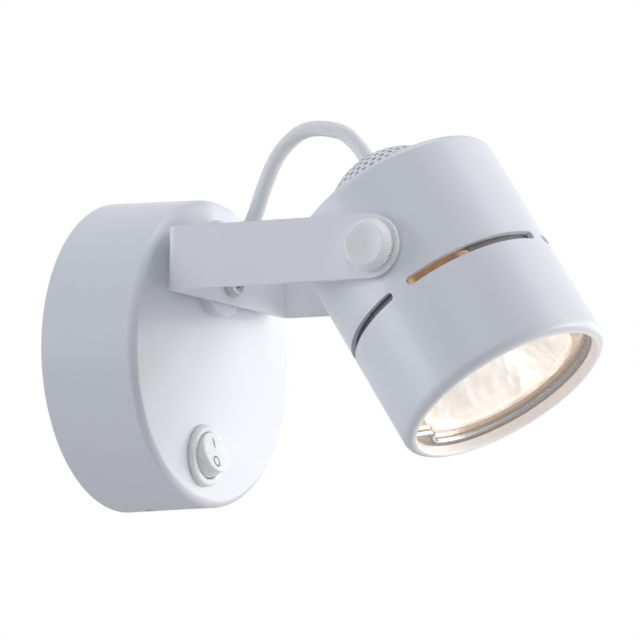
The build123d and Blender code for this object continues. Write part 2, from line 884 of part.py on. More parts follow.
def lamp_reflector():
    """Pressed-glass bowl with a rim that the front glass sits in."""
    rim_back = lamp_front - lamp_rim_height
    neck_low = lamp_neck_ahead - 3.0
    heights = [lamp_neck_ahead + (rim_back - lamp_neck_ahead) * i / 6 for i in range(7)]
    outer = [(reflector_radius(s), 0, s) for s in heights]
    inner = [(reflector_radius(s) - lamp_glass, 0, s) for s in heights]
    seat = lamp_front - lens_thickness - slip_fit
    outline = [
        Line((lamp_neck_radius - lamp_glass, 0, neck_low), (lamp_neck_radius, 0, neck_low)),
        Line((lamp_neck_radius, 0, neck_low), outer[0]),
        Spline(*outer),
        Line(outer[-1], (lamp_rim_radius, 0, rim_back)),
        Line((lamp_rim_radius, 0, rim_back), (lamp_rim_radius, 0, lamp_front)),
        Line((lamp_rim_radius, 0, lamp_front), (lens_radius() + slip_fit, 0, lamp_front)),
        Line((lens_radius() + slip_fit, 0, lamp_front), (lens_radius() + slip_fit, 0, seat)),
        Line((lens_radius() + slip_fit, 0, seat), (inner[-1][0], 0, seat)),
        Line((inner[-1][0], 0, seat), inner[-1]),
        Spline(*inner[::-1]),
        Line(inner[0], (lamp_neck_radius - lamp_glass, 0, neck_low)),
    ]
    return head_place * revolve(make_face(outline), Axis.Z)


def lens_radius():
    return lamp_rim_radius - lamp_glass


def lamp_lens():
    back = lamp_front - lens_thickness
    glass = turned_z([(0, back), (lens_radius(), back), (lens_radius(), lamp_front), (0, lamp_front)])
    return head_place * glass


def lamp_capsule():
    foot = lamp_neck_ahead - 2.0 + slip_fit
    top = foot + capsule_length
    glass = turned_z(
        [(0, foot), (capsule_radius, foot), (capsule_radius, top), (0, top)],
        [0, 0, 0.8 * capsule_radius, 0],
    )
    return head_place * glass


def front_ring():
    ring = cylinder_z(lip_opening_radius - front_ring_gap, lamp_front, lamp_front + front_ring_thickness)
    ring -= cylinder_z(front_ring_opening, lamp_front - 1, lamp_front + front_ring_thickness + 1)
    return head_place * ring


def retaining_wire():
    """Sprung wire loop in front of the ring. Both ends turn in from the loop and face each other."""
    height = lamp_front + front_ring_thickness + wire_radius + slip_fit
    middle = math.radians(wire_gap_at)
    turn_in = math.radians(wire_end_angle)
    half_gap = math.radians(wire_gap_angle / 2)
    tip_radius = wire_loop_radius - wire_end_inset

    def on_loop(angle, radius=wire_loop_radius):
        return Vector(radius * math.cos(angle), radius * math.sin(angle), height)

    first = on_loop(middle + turn_in)
    last = on_loop(middle - turn_in)
    first_tip = on_loop(middle + half_gap, tip_radius)
    last_tip = on_loop(middle - half_gap, tip_radius)
    loop = ThreePointArc(first, on_loop(middle + math.pi), last)
    first_end = Spline(first_tip, first, tangents=(first - first_tip, loop % 0))
    last_end = Spline(last, last_tip, tangents=(loop % 1, last_tip - last))
    path = Wire([first_end, loop, last_end])
    start = Plane(origin=path @ 0, z_dir=path % 0)
    wire = sweep(start * Circle(wire_radius), path=path)
    print("retaining_wire fill", round(wire.volume / (math.pi * wire_radius**2 * path.length), 4))
    return head_place * wire


def slot_baffle():
    """Sprung open strip behind the ventilation slots. Its opening shows in one slot."""
    outer = head_inner_radius - slip_fit
    low, high = slot_ahead - baffle_half_width, slot_ahead + baffle_half_width
    inner = outer - baffle_thickness
    outline = Polyline((inner, 0, low), (outer, 0, low), (outer, 0, high), (inner, 0, high), close=True)
    strip = revolve(make_face(outline), Axis.Z, 360 - baffle_gap)
    return head_place * Rot(0, 0, baffle_start + baffle_gap) * strip


def pivot_inserts():
    inserts = []
    seat = math.sqrt(head_inner_radius**2 - insert_flange_radius**2) - slip_fit
    for side in (-1, 1):
        insert = cylinder_x(insert_radius, side * seat, side * (head_radius - insert_recess))
        insert += cylinder_x(insert_flange_radius, side * (seat - insert_flange_height), side * seat)
        insert -= cylinder_x(stud_radius + slip_fit, side * (seat - insert_flange_height - 1), side * (head_radius + 1))
        inserts.append(head_place * insert)
    return inserts


def knob(side):
    """Knurled thumb knob on the outside of an arm: a dished face, a steep shoulder and a ridged rim."""
    inner = arm_outside
    outer = inner + knob_thickness
    points = []
    for i in range(2 * knob_ridges):
        angle = math.pi * i / knob_ridges
        radius = knob_radius - knob_ridge_depth * (i % 2)
        points.append((radius * math.cos(angle), radius * math.sin(angle)))
    body = Pos(0, 0, inner) * extrude(make_face(Polyline(*points, close=True)), knob_thickness)
    edge = knob_radius + slip_fit
    shoulder = (edge, 0, outer - knob_shoulder_drop)
    crest = (knob_crest_radius, 0, outer)
    dish = (0, 0, outer - knob_dish_depth)
    profile = [
        Line((0, 0, inner), (edge, 0, inner)),
        Line((edge, 0, inner), shoulder),
        Line(shoulder, crest),
        TangentArc(dish, crest, tangent=(1, 0, 0)),
        Line(dish, (0, 0, inner)),
    ]
    turned = revolve(make_face(profile), Axis.Z)
    body &= fillet(turned.edges().filter_by(GeomType.CIRCLE).sort_by(Axis.Z)[-1], knob_crest_round)
    body -= cylinder_z(stud_radius + slip_fit, inner - 1, inner + knob_bore_depth)
    return Pos(0, pivot_y, pivot_z) * Rot(0, side * 90, 0) * body


def stud(side):
    """Steel screw fixed in a knob, through the arm and into the head's insert."""
    inner = head_inner_radius - stud_end_inside
    outer = arm_outside + knob_bore_depth - slip_fit
    return cylinder_x(stud_radius, side * inner, side * outer, pivot_y, pivot_z)


def flex_cable():
    entry = head_place * Pos(0, 0, gland_tip)
    before = head_place * Pos(0, 0, gland_tip - flex_straight)
    points = [(0.0, bush_tip, bush_z), (0.0, bush_tip - flex_first_run, bush_z)]
    points += [(0.0, bush_tip - out, bush_z + rise) for out, rise in flex_route]
    points += [tuple(before.position), tuple(entry.position)]
    return tube(points, flex_radius, "flex_cable")


def write(name, shape):
    """Write one node: a single solid, or a group of separate ones."""
    group = shape if isinstance(shape, list) else [shape]
    solids = [solid for piece in group for solid in piece.solids()]
    node = solids[0] if len(solids) == 1 else Compound(children=solids)
    export_step(node, os.path.join("parts", name + ".step"))


def build():
    return {
        "base_shell": base_shell(),
        "wall_strap": wall_strap(),
        "cover_screws": cover_screws(),
        "terminal_block": terminal_block(),
        "terminal_tubes": terminal_tubes(),
        "terminal_screws": terminal_screws(),
        "block_screw": block_screw(),
        "earth_screw": earth_screw(),
        "switch_body": switch_body(),
        "switch_terminals": switch_terminals(),
        "switch_rocker": switch_rocker(),
        "cable_bush": cable_bush(),
        "flex_collar": flex_collar(),
        "flex_tail_base": flex_tail_base(),
        "base_leads": base_leads(),
        "swivel_boss": swivel_boss(),
        "friction_washer": friction_washer(),
        "swivel_screw": swivel_screw(),
        "swivel_washer": swivel_washer(),
        "swivel_nut": swivel_nut(),
        "u_bracket": u_bracket(),
        "head_shell": head_shell(),
        "rear_dome": rear_dome(),
        "dome_gland": dome_gland(),
        "flex_tail_head": flex_tail_head(),
        "head_leads": head_leads(),
        "holder_bracket": holder_bracket(),
        "holder_screws": holder_screws(),
        "lamp_holder": lamp_holder(),
        "lamp_base": lamp_base(),
        "lamp_pins": lamp_pins(),
        "lamp_reflector": lamp_reflector(),
        "lamp_lens": lamp_lens(),
        "lamp_capsule": lamp_capsule(),
        "front_ring": front_ring(),
        "retaining_wire": retaining_wire(),
        "slot_baffle": slot_baffle(),
        "pivot_inserts": pivot_inserts(),
        "left_knob": knob(-1),
        "left_stud": stud(-1),
        "right_knob": knob(1),
        "right_stud": stud(1),
        "flex_cable": flex_cable(),
    }


os.makedirs("parts", exist_ok=True)
for node_name, node_shape in build().items():
    write(node_name, node_shape)
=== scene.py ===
import json
import math

import bmesh
import bpy
from mathutils import Matrix, Vector


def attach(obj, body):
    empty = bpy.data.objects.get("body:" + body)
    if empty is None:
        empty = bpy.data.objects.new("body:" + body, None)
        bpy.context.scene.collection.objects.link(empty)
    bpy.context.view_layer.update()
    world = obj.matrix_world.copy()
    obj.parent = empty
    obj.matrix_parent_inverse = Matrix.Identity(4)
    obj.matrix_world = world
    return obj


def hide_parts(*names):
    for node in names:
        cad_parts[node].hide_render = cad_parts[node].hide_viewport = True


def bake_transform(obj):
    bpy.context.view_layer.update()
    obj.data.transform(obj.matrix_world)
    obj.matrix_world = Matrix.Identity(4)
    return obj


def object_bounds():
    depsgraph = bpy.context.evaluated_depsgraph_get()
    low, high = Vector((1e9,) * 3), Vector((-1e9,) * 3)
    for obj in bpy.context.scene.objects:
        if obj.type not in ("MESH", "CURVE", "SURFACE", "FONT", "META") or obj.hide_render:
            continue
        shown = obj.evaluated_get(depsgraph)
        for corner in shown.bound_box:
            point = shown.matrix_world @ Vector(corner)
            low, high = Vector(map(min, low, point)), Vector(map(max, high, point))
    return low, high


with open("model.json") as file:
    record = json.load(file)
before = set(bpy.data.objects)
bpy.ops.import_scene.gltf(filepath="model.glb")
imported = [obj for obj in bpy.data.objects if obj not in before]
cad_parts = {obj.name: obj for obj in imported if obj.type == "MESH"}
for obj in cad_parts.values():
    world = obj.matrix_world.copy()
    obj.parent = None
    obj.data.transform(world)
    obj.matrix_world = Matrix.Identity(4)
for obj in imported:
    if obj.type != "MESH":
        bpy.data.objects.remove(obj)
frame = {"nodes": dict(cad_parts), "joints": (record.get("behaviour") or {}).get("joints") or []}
cad_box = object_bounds()

MM = 0.001
MICRON = 1e-6
nodes = frame["nodes"]
joints = {joint["name"]: joint for joint in frame["joints"]}
scene = bpy.context.scene
scene.view_settings.view_transform = "Standard"


def angles_round(count, offset=0.0):
    """Angles of that many even steps round a circle, the first one a share of a step on."""
    return [2 * math.pi * (k + offset) / count for k in range(count)]


def link_mesh(name, bm, material, smooth=True):
    """Turns a finished bmesh into an object of the scene, in one material."""
    bmesh.ops.recalc_face_normals(bm, faces=bm.faces)
    mesh = bpy.data.meshes.new(name)
    bm.to_mesh(mesh)
    bm.free()
    mesh.polygons.foreach_set("use_smooth", [smooth] * len(mesh.polygons))
    mesh.materials.append(material)
    piece = bpy.data.objects.new(name, mesh)
    scene.collection.objects.link(piece)
    return piece


# Camera at the photo's viewing angle, with lengths in metres and the lens and sensor in millimetres

CAMERA_AZIMUTH = math.radians(-60.47)
CAMERA_ELEVATION = math.radians(-7.449)
CAMERA_ROLL = math.radians(1.119)
CAMERA_DISTANCE = 1.36121
CAMERA_TARGET = Vector((0.0, -0.063688, 0.007968))
CAMERA_LENS = 274.73
CAMERA_SENSOR = 36
CAMERA_NEAR = 0.05
CAMERA_FAR = 50


def add_camera():
    back = Vector(
        (
            math.sin(CAMERA_AZIMUTH) * math.cos(CAMERA_ELEVATION),
            -math.cos(CAMERA_AZIMUTH) * math.cos(CAMERA_ELEVATION),
            math.sin(CAMERA_ELEVATION),
        )
    )
    level_right = (-back).cross(Vector((0, 0, 1))).normalized()
    level_up = level_right.cross(-back)
    right = level_right * math.cos(CAMERA_ROLL) + level_up * math.sin(CAMERA_ROLL)
    up = level_up * math.cos(CAMERA_ROLL) - level_right * math.sin(CAMERA_ROLL)
    camera = bpy.data.objects.new("camera", bpy.data.cameras.new("camera"))
    camera.data.lens = CAMERA_LENS
    camera.data.sensor_width = CAMERA_SENSOR
    camera.data.clip_start = CAMERA_NEAR
    camera.data.clip_end = CAMERA_FAR
    turn = Matrix((right, up, back)).transposed().to_4x4()
    camera.matrix_world = Matrix.Translation(CAMERA_TARGET + back * CAMERA_DISTANCE) @ turn
    scene.collection.objects.link(camera)
    scene.camera = camera


add_camera()


# The head's own directions at rest

HEAD_TILT = math.radians(56.45)
HEAD_AXIS = Vector((0, -math.cos(HEAD_TILT), -math.sin(HEAD_TILT)))
HEAD_SIDE = Vector((1, 0, 0))
HEAD_UP = HEAD_AXIS.cross(HEAD_SIDE)
HEAD_PIVOT = Vector(joints["head_tilt"]["pos_m"])


# Materials

NOISE_LOW = 0.3
NOISE_HIGH = 0.7


class Finish:
    """One procedural material: a Principled shader and the nodes that vary it, in the frame's own metres."""

    def __init__(self, name, sockets=None):
        self.material = bpy.data.materials.new(name)
        self.material.use_nodes = True
        self.tree = self.material.node_tree
        self.shader = self.tree.nodes["Principled BSDF"]
        self.place = self.add("ShaderNodeTexCoord").outputs["Object"]
        self.feed(self.shader, sockets or {})

    def add(self, kind, inputs=None, **settings):
        node = self.tree.nodes.new(kind)
        for key, value in settings.items():
            setattr(node, key, value)
        self.feed(node, inputs or {})
        return node

    def feed(self, node, inputs):
        for key, value in inputs.items():
            if isinstance(value, bpy.types.NodeSocket):
                self.tree.links.new(value, node.inputs[key])
            else:
                node.inputs[key].default_value = value

    def compute(self, operation, *values):
        """One step of arithmetic on numbers."""
        return self.add("ShaderNodeMath", dict(enumerate(values)), operation=operation).outputs[0]

    def compute_place(self, operation, *places):
        """One step of arithmetic on places."""
        return self.add("ShaderNodeVectorMath", dict(enumerate(places)), operation=operation)

    def spread(self, value, low, high, to_low=0.0, to_high=1.0, **settings):
        """Number taken from one range to another."""
        inputs = {"Value": value, "From Min": low, "From Max": high, "To Min": to_low, "To Max": to_high}
        return self.add("ShaderNodeMapRange", inputs, **settings).outputs["Result"]

    def between(self, value, low, high):
        """Number that goes smoothly from 0 to 1 over a range."""
        return self.spread(value, low, high, interpolation_type="SMOOTHSTEP")

    def drift(self, noise, low, high):
        """Noise spread over a range of numbers."""
        return self.spread(noise, NOISE_LOW, NOISE_HIGH, low, high)

    def noise(self, patch, detail=3.0, place=None):
        """Cloudy noise whose patches are about that many metres across."""
        inputs = {"Vector": place or self.place, "Scale": 1 / patch, "Detail": detail}
        return self.add("ShaderNodeTexNoise", inputs).outputs["Fac"]

    def streaked(self, stretch):
        """Places squeezed along x, so that noise runs as streaks that many times as long as wide."""
        inputs = {"Vector": self.place, "Scale": (1 / stretch, 1, 1)}
        return self.add("ShaderNodeMapping", inputs).outputs["Vector"]

    def in_head(self):
        """Where a point lies in the head: to its right, up across its axis, and ahead of the tilt axis."""
        away = self.compute_place("SUBTRACT", self.place, HEAD_PIVOT).outputs[0]
        sides = (HEAD_SIDE, HEAD_UP, HEAD_AXIS)
        return [self.compute_place("DOT_PRODUCT", away, side).outputs["Value"] for side in sides]

    def ramp(self, factor, stops):
        """Colour read off a row of stops, each a position and a colour."""
        node = self.add("ShaderNodeValToRGB", {"Fac": factor})
        elements = node.color_ramp.elements
        while len(elements) < len(stops):
            elements.new(0.5)
        for element, (position, shade) in zip(elements, stops):
            element.position = position
            element.color = (*shade, 1.0)
        return node.outputs["Color"]

    def mix(self, factor, first, second):
        node = self.add("ShaderNodeMix", data_type="RGBA")
        self.feed(node, {0: factor, 6: first, 7: second})
        return node.outputs[2]

    def colour(self, dark, light, factor):
        """Base colour between two tones."""
        shade = self.ramp(factor, [(NOISE_LOW, dark), (NOISE_HIGH, light)])
        self.feed(self.shader, {"Base Color": shade})
        return shade

    def gloss(self, low, high, noise):
        """Roughness that drifts between two values."""
        self.feed(self.shader, {"Roughness": self.drift(noise, low, high)})

    def bump(self, height, depth, strength=1.0):
        """Relief of that depth in metres."""
        inputs = {"Height": height, "Distance": depth, "Strength": strength}
        node = self.add("ShaderNodeBump", inputs)
        self.feed(self.shader, {"Normal": node.outputs["Normal"]})

    def light(self, colour, strength):
        """The lamp's light on or in the surface."""
        self.feed(self.shader, {"Emission Color": colour, "Emission Strength": strength})


def dimmed(colour, share):
    return tuple(channel * share for channel in colour)


def paint(name, colour, roughness, coat):
    """Powder coat: a faint drift of tone, uneven gloss under a smooth skin, and a fine orange peel."""
    finish = Finish(name, {"Coat Weight": coat, "Coat Roughness": 0.16})
    finish.colour(dimmed(colour, share=0.975), colour, finish.noise(patch=28 * MM))
    finish.gloss(roughness - 0.04, roughness + 0.05, finish.noise(patch=9 * MM))
    finish.bump(finish.noise(patch=0.9 * MM, detail=2.0), depth=12 * MICRON)
    return finish


LIP_DARK_RADIUS = 30.2 * MM
LIP_LIT_RADIUS = 27.2 * MM
LIP_DARK_AHEAD = 40 * MM
LIP_LIT_AHEAD = 42 * MM


def light_lip(finish, glow, strength):
    """The lamp's light on the inside of the head's lip, fading out over the lip's round."""
    side, up, ahead = finish.in_head()
    squares = [finish.compute("POWER", part, 2.0) for part in (side, up)]
    radius = finish.compute("SQRT", finish.compute("ADD", *squares))
    inside = finish.between(radius, LIP_DARK_RADIUS, LIP_LIT_RADIUS)
    lit = finish.compute("MULTIPLY", inside, finish.between(ahead, LIP_DARK_AHEAD, LIP_LIT_AHEAD))
    finish.light((*glow, 1.0), finish.compute("MULTIPLY", lit, strength))


def plastic(name, colour, roughness, grain_depth=5 * MICRON, milky=0.0):
    """Moulded plastic: flow tone, a slight satin grain, and light that spreads inside where it is milky."""
    inside = {"Subsurface Weight": milky, "Subsurface Radius": (1, 1, 1), "Subsurface Scale": 2 * MM}
    finish = Finish(name, inside)
    finish.colour(dimmed(colour, share=0.975), colour, finish.noise(patch=14 * MM, detail=2.0))
    finish.gloss(roughness - 0.05, roughness + 0.06, finish.noise(patch=3 * MM))
    finish.bump(finish.noise(patch=0.35 * MM, detail=2.0), grain_depth)
    return finish.material


def metal(name, colour, roughness, glow=(0, 0, 0)):
    """Drawn or plated metal: fine streaks in tone, gloss and relief, and any of the lamp's light on it."""
    finish = Finish(name, {"Metallic": 1.0})
    finish.light((*glow, 1.0), 1.0)
    streaks = finish.noise(patch=0.4 * MM, detail=4.0, place=finish.streaked(stretch=6.0))
    finish.colour(dimmed(colour, share=0.82), colour, streaks)
    finish.gloss(roughness - 0.06, roughness + 0.1, finish.noise(patch=2.5 * MM))
    finish.bump(streaks, depth=4 * MICRON)
    return finish.material


def ceramic(name, colour):
    """Fired ceramic: dull, with a fine speckle and a slight grain."""
    finish = Finish(name)
    finish.colour(dimmed(colour, share=0.9), colour, finish.noise(patch=1.2 * MM, detail=6.0))
    finish.gloss(0.55, 0.75, finish.noise(patch=2 * MM))
    finish.bump(finish.noise(patch=0.25 * MM, detail=4.0), depth=15 * MICRON)
    return finish.material


# The open slot shows this stretch of angles round the lamp's neck, from the left side upwards.
SLOT_FROM = math.radians(-20)
SLOT_TO = math.radians(71)
SLOT_GLOW = [
    (0.0, (0.62, 0.38, 0.21)),
    (0.09, (0.62, 0.36, 0.19)),
    (0.17, (0.27, 0.16, 0.10)),
    (0.55, (0.30, 0.17, 0.10)),
    (0.8, (0.25, 0.16, 0.10)),
    (0.93, (0.48, 0.31, 0.21)),
    (1.0, (0.50, 0.40, 0.30)),
]
RIM_GLOW_FROM = 28 * MM
RIM_GLOW_TO = 33 * MM


def lamp_back(name, rim_glow):
    """Back of the lamp's bowl, lit through: golden at the slot's ends, brown between, pale at the rim."""
    finish = Finish(name, {"Roughness": 0.35})
    side, up, ahead = finish.in_head()
    angle = finish.compute("ARCTAN2", up, finish.compute("MULTIPLY", side, -1.0))
    slot_glow = finish.ramp(finish.spread(angle, SLOT_FROM, SLOT_TO), SLOT_GLOW)
    glow = finish.mix(finish.between(ahead, RIM_GLOW_FROM, RIM_GLOW_TO), slot_glow, (*rim_glow, 1.0))
    finish.feed(finish.shader, {"Base Color": glow})
    finish.light(glow, finish.drift(finish.noise(patch=1.2 * MM), low=0.65, high=0.95))
    finish.bump(finish.noise(patch=0.8 * MM), depth=8 * MICRON)
    return finish.material


SLEEVE_STRANDS = 16
SLEEVE_PITCH = 9 * MM
SLEEVE_HOLLOW = -0.6


def sleeve(name, colour):
    """Woven sleeve of the flex: two sets of strands that cross, laid by the tube's UV in turns and metres."""
    finish = Finish(name, {"Roughness": 0.62, "Sheen Weight": 0.15, "Sheen Roughness": 0.5})
    split = finish.add("ShaderNodeSeparateXYZ", {"Vector": finish.add("ShaderNodeUVMap").outputs["UV"]})

    def strands(slope):
        run = finish.compute("MULTIPLY", split.outputs["Y"], slope)
        turn = finish.compute("MULTIPLY_ADD", split.outputs["X"], SLEEVE_STRANDS, run)
        return finish.compute("SINE", finish.compute("MULTIPLY", turn, 2 * math.pi))

    slope = SLEEVE_STRANDS / SLEEVE_PITCH
    weave = finish.compute("MAXIMUM", strands(slope), strands(-slope))
    raised = finish.spread(weave, SLEEVE_HOLLOW, 1.0)
    # The hollows between the strands are painted a little darker: painted shade.
    finish.colour(dimmed(colour, share=0.94), colour, raised)
    finish.bump(raised, depth=60 * MICRON, strength=0.6)
    return finish.material


def glass(name, colour, glow, glow_strength):
    """Clear lamp glass with a slight ripple, and the warm light of the lamp behind it."""
    finish = Finish(name, {"Transmission Weight": 1.0, "IOR": 1.5})
    finish.colour(dimmed(colour, share=0.97), colour, finish.noise(patch=8 * MM))
    finish.gloss(0.02, 0.07, finish.noise(patch=5 * MM))
    finish.bump(finish.noise(patch=3 * MM, detail=1.0), depth=6 * MICRON)
    finish.light((*glow, 1.0), glow_strength)
    return finish.material


STREAK_SQUEEZE = 0.12


def glowing(name, dark, light, strength, metallic=0.0, roughness=0.3):
    """A surface with the lamp's light in it: streaks of tone along the head's axis, which also shine."""
    finish = Finish(name, {"Metallic": metallic})
    side, up, ahead = finish.in_head()
    squeezed = {0: side, 1: up, 2: finish.compute("MULTIPLY", ahead, STREAK_SQUEEZE)}
    place = finish.add("ShaderNodeCombineXYZ", squeezed).outputs[0]
    shade = finish.colour(dark, light, finish.noise(patch=3 * MM, place=place))
    finish.gloss(roughness - 0.05, roughness + 0.05, finish.noise(patch=2 * MM))
    finish.bump(finish.noise(patch=0.6 * MM), depth=5 * MICRON)
    finish.light(shade, strength)
    return finish.material


WHITE = (0.825, 0.845, 0.89)
# The bracket's white is the base's paint made lighter: painted light, for the extra light that falls on the
# arms.
LIT_BRACKET_WHITE = (0.90, 0.91, 0.945)
PLASTIC_WHITE = (0.95, 0.945, 0.945)
STEEL = (0.66, 0.66, 0.67)
RING_GLOW = (0.15, 0.10, 0.065)

head_paint = paint("head_paint", WHITE, roughness=0.42, coat=0.25)
light_lip(head_paint, glow=(1.0, 0.83, 0.67), strength=0.36)
lit_bracket_paint = paint("lit_bracket_paint", LIT_BRACKET_WHITE, roughness=0.45, coat=0.3).material
finishes = {
    "white_paint": paint("white_paint", WHITE, roughness=0.45, coat=0.4).material,
    "head_paint": head_paint.material,
    "white_plastic": plastic("white_plastic", PLASTIC_WHITE, 0.30, grain_depth=2 * MICRON, milky=0.6),
    "zinc_steel": metal("zinc_steel", STEEL, roughness=0.28),
    "brass": metal("brass", (0.72, 0.53, 0.24), roughness=0.30),
    "polished_ring": metal("polished_ring", (0.88, 0.82, 0.76), roughness=0.18, glow=RING_GLOW),
    # The dark steel seen through the head's slots is near black: painted shade of the head's inside.
    "dark_steel": metal("dark_steel", (0.19, 0.18, 0.19), roughness=0.5),
    "block_plastic": plastic("block_plastic", (0.72, 0.71, 0.68), roughness=0.42),
    "bush_rubber": plastic("bush_rubber", (0.82, 0.83, 0.86), roughness=0.55, grain_depth=8 * MICRON),
    "flex_sleeve": sleeve("flex_sleeve", (1.0, 1.0, 1.0)),
    "lead_plastic": plastic("lead_plastic", (0.34, 0.20, 0.12), roughness=0.45),
    "ceramic": ceramic("ceramic", (0.80, 0.78, 0.73)),
    "lamp_mirror": lamp_back("lamp_back", rim_glow=(0.80, 0.74, 0.65)),
    "lamp_glass": glass("lamp_glass", (1.0, 0.99, 0.98), glow=(1.0, 0.95, 0.90), glow_strength=0.06),
}
facet_mirror = glowing(
    "facet_mirror", (0.74, 0.68, 0.62), (0.97, 0.955, 0.94), strength=0.29, metallic=1.0, roughness=0.22
)
lamp_filament = glowing("lamp_filament", (1.0, 0.78, 0.50), (1.0, 0.86, 0.62), strength=1.5)
print_grey = plastic("print_grey", (0.10, 0.10, 0.11), roughness=0.45)


def dress_nodes():
    """Each CAD node takes the finish of its slot in the record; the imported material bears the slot's name."""
    for node in nodes.values():
        slot_name = node.data.materials[0].name.split(".")[0]
        node.data.materials[0] = finishes[slot_name]
    # The bracket takes the lighter copy of the white paint: painted light on the arms.
    nodes["u_bracket"].data.materials[0] = lit_bracket_paint
    nodes["cover_screws"].data.materials[0] = finishes["white_paint"]
    nodes["lamp_capsule"].data.materials[0] = lamp_filament


dress_nodes()


# Flex

FLEX_DIAMETER = 4.4 * MM
FLEX_SIDES = 32
FLEX_STEPS = 24
FLEX_ORDER = 3
# Points (y, z) in millimetres in the plane x = 0: out of the bush and up over the bracket.
FLEX_OUT_OF_BASE = [
    (-31.6, 34.6),
    (-39.2, 34.6),
    (-41.5, 37.0),
    (-44.5, 46.0),
    (-48.41, 54.75),
    (-50.71, 57.21),
]
# On from there, and down into the dome's gland.
FLEX_INTO_HEAD = [
    (-50.71, 57.21),
    (-51.69, 58.26),
    (-56.5, 61.9),
    (-63.1, 62.5),
    (-72.95, 59.81),
    (-77.92, 52.31),
]


def smooth_line(name, route):
    """Points along the NURBS spline whose control points are the route's."""
    curve = bpy.data.curves.new(name, "CURVE")
    curve.dimensions = "3D"
    curve.resolution_u = FLEX_STEPS
    spline = curve.splines.new("NURBS")
    spline.points.add(len(route) - 1)
    for point, (y, z) in zip(spline.points, route):
        point.co = (0, y * MM, z * MM, 1)
    spline.order_u = FLEX_ORDER
    spline.use_endpoint_u = True
    carrier = bpy.data.objects.new(name, curve)
    mesh = bpy.data.meshes.new_from_object(carrier)
    line = [vertex.co.copy() for vertex in mesh.vertices]
    bpy.data.objects.remove(carrier)
    bpy.data.meshes.remove(mesh)
    return line


def line_length(line):
    return sum((b - a).length for a, b in zip(line, line[1:]))


def flex_tube(name, line, run):
    """Closed tube round a line in the plane x = 0. Its UV counts turns, and metres along the whole flex."""
    bm = bmesh.new()
    uv = bm.loops.layers.uv.new("flex")
    side = Vector((1, 0, 0))
    reach = FLEX_DIAMETER / 2
    rings, runs = [], []
    for i, point in enumerate(line):
        ahead = (line[min(i + 1, len(line) - 1)] - line[max(i - 1, 0)]).normalized()
        across = side.cross(ahead)
        spokes = [side * math.cos(a) + across * math.sin(a) for a in angles_round(FLEX_SIDES)]
        rings.append([bm.verts.new(point + spoke * reach) for spoke in spokes])
        runs.append(run)
        if i + 1 < len(line):
            run += (line[i + 1] - point).length
    for i in range(len(line) - 1):
        for k in range(FLEX_SIDES):
            after = (k + 1) % FLEX_SIDES
            face = bm.faces.new((rings[i][k], rings[i][after], rings[i + 1][after], rings[i + 1][k]))
            corners = ((k, i), (k + 1, i), (k + 1, i + 1), (k, i + 1))
            for loop, (turn, step) in zip(face.loops, corners):
                loop[uv].uv = (turn / FLEX_SIDES, runs[step])
    bm.faces.new(rings[0])
    bm.faces.new(rings[-1])
    return link_mesh(name, bm, finishes["flex_sleeve"])


def add_flex():
    """The free flex in two lengths that meet over the bracket, in place of the CAD flex, which is hidden."""
    base_line = smooth_line("flex_base_line", FLEX_OUT_OF_BASE)
    head_line = smooth_line("flex_head_line", FLEX_INTO_HEAD)
    base_flex = flex_tube("flex_out_of_base", base_line, 0.0)
    head_flex = flex_tube("flex_into_head", head_line, line_length(base_line))
    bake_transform(base_flex)
    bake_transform(head_flex)
    for piece, line in ((base_flex, base_line), (head_flex, head_line)):
        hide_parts("flex_cable")


add_flex()


# Mirror facets of the lamp

BOWL_NECK_RADIUS = 13.0 * MM
BOWL_RIM_RADIUS = 24.2 * MM
BOWL_NECK_AHEAD = 9.0 * MM
BOWL_RIM_AHEAD = 37.2 * MM
BOWL_GLASS = 1.2 * MM
FACET_CLEARANCE = 0.12 * MM
FACET_THICKNESS = 0.06 * MM
FACET_COLUMNS = 36
FACET_ROWS = 8


def head_point(radius, angle, ahead):
    """A point of the head from its pivot: distance from the axis, angle round it and distance forward."""
    out = HEAD_SIDE * math.cos(angle) + HEAD_UP * math.sin(angle)
    return HEAD_PIVOT + HEAD_AXIS * ahead + out * radius


def bowl_radius(share):
    """Outside of the glass bowl from its neck, 0, to its rim, 1: a paraboloid."""
    return math.sqrt(BOWL_NECK_RADIUS**2 + share * (BOWL_RIM_RADIUS**2 - BOWL_NECK_RADIUS**2))


def add_facets():
    """Mirror facets on the inside of the bowl: flat panes in rows, each row turned by half a pane."""
    bm = bmesh.new()
    rows = []
    for row in range(FACET_ROWS + 1):
        share = row / FACET_ROWS
        radius = bowl_radius(share) - BOWL_GLASS - FACET_CLEARANCE
        ahead = BOWL_NECK_AHEAD + (BOWL_RIM_AHEAD - BOWL_NECK_AHEAD) * share
        angles = angles_round(FACET_COLUMNS, offset=0.5 * (row % 2))
        rows.append([bm.verts.new(head_point(radius, a, ahead)) for a in angles])
    for row, (low, high) in enumerate(zip(rows, rows[1:])):
        for k in range(FACET_COLUMNS):
            after = (k + 1) % FACET_COLUMNS
            if row % 2:
                bm.faces.new((low[k], high[after], high[k]))
                bm.faces.new((low[k], low[after], high[after]))
            else:
                bm.faces.new((low[k], low[after], high[k]))
                bm.faces.new((low[after], high[after], high[k]))
    piece = link_mesh("mirror_facets", bm, facet_mirror, smooth=False)
    sheet = piece.modifiers.new("sheet", "SOLIDIFY")
    sheet.thickness = FACET_THICKNESS
    sheet.offset = 0
    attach(piece, "head")


add_facets()


# Switch marks, with places on the rocker's flat face as it lies before the rocker tips

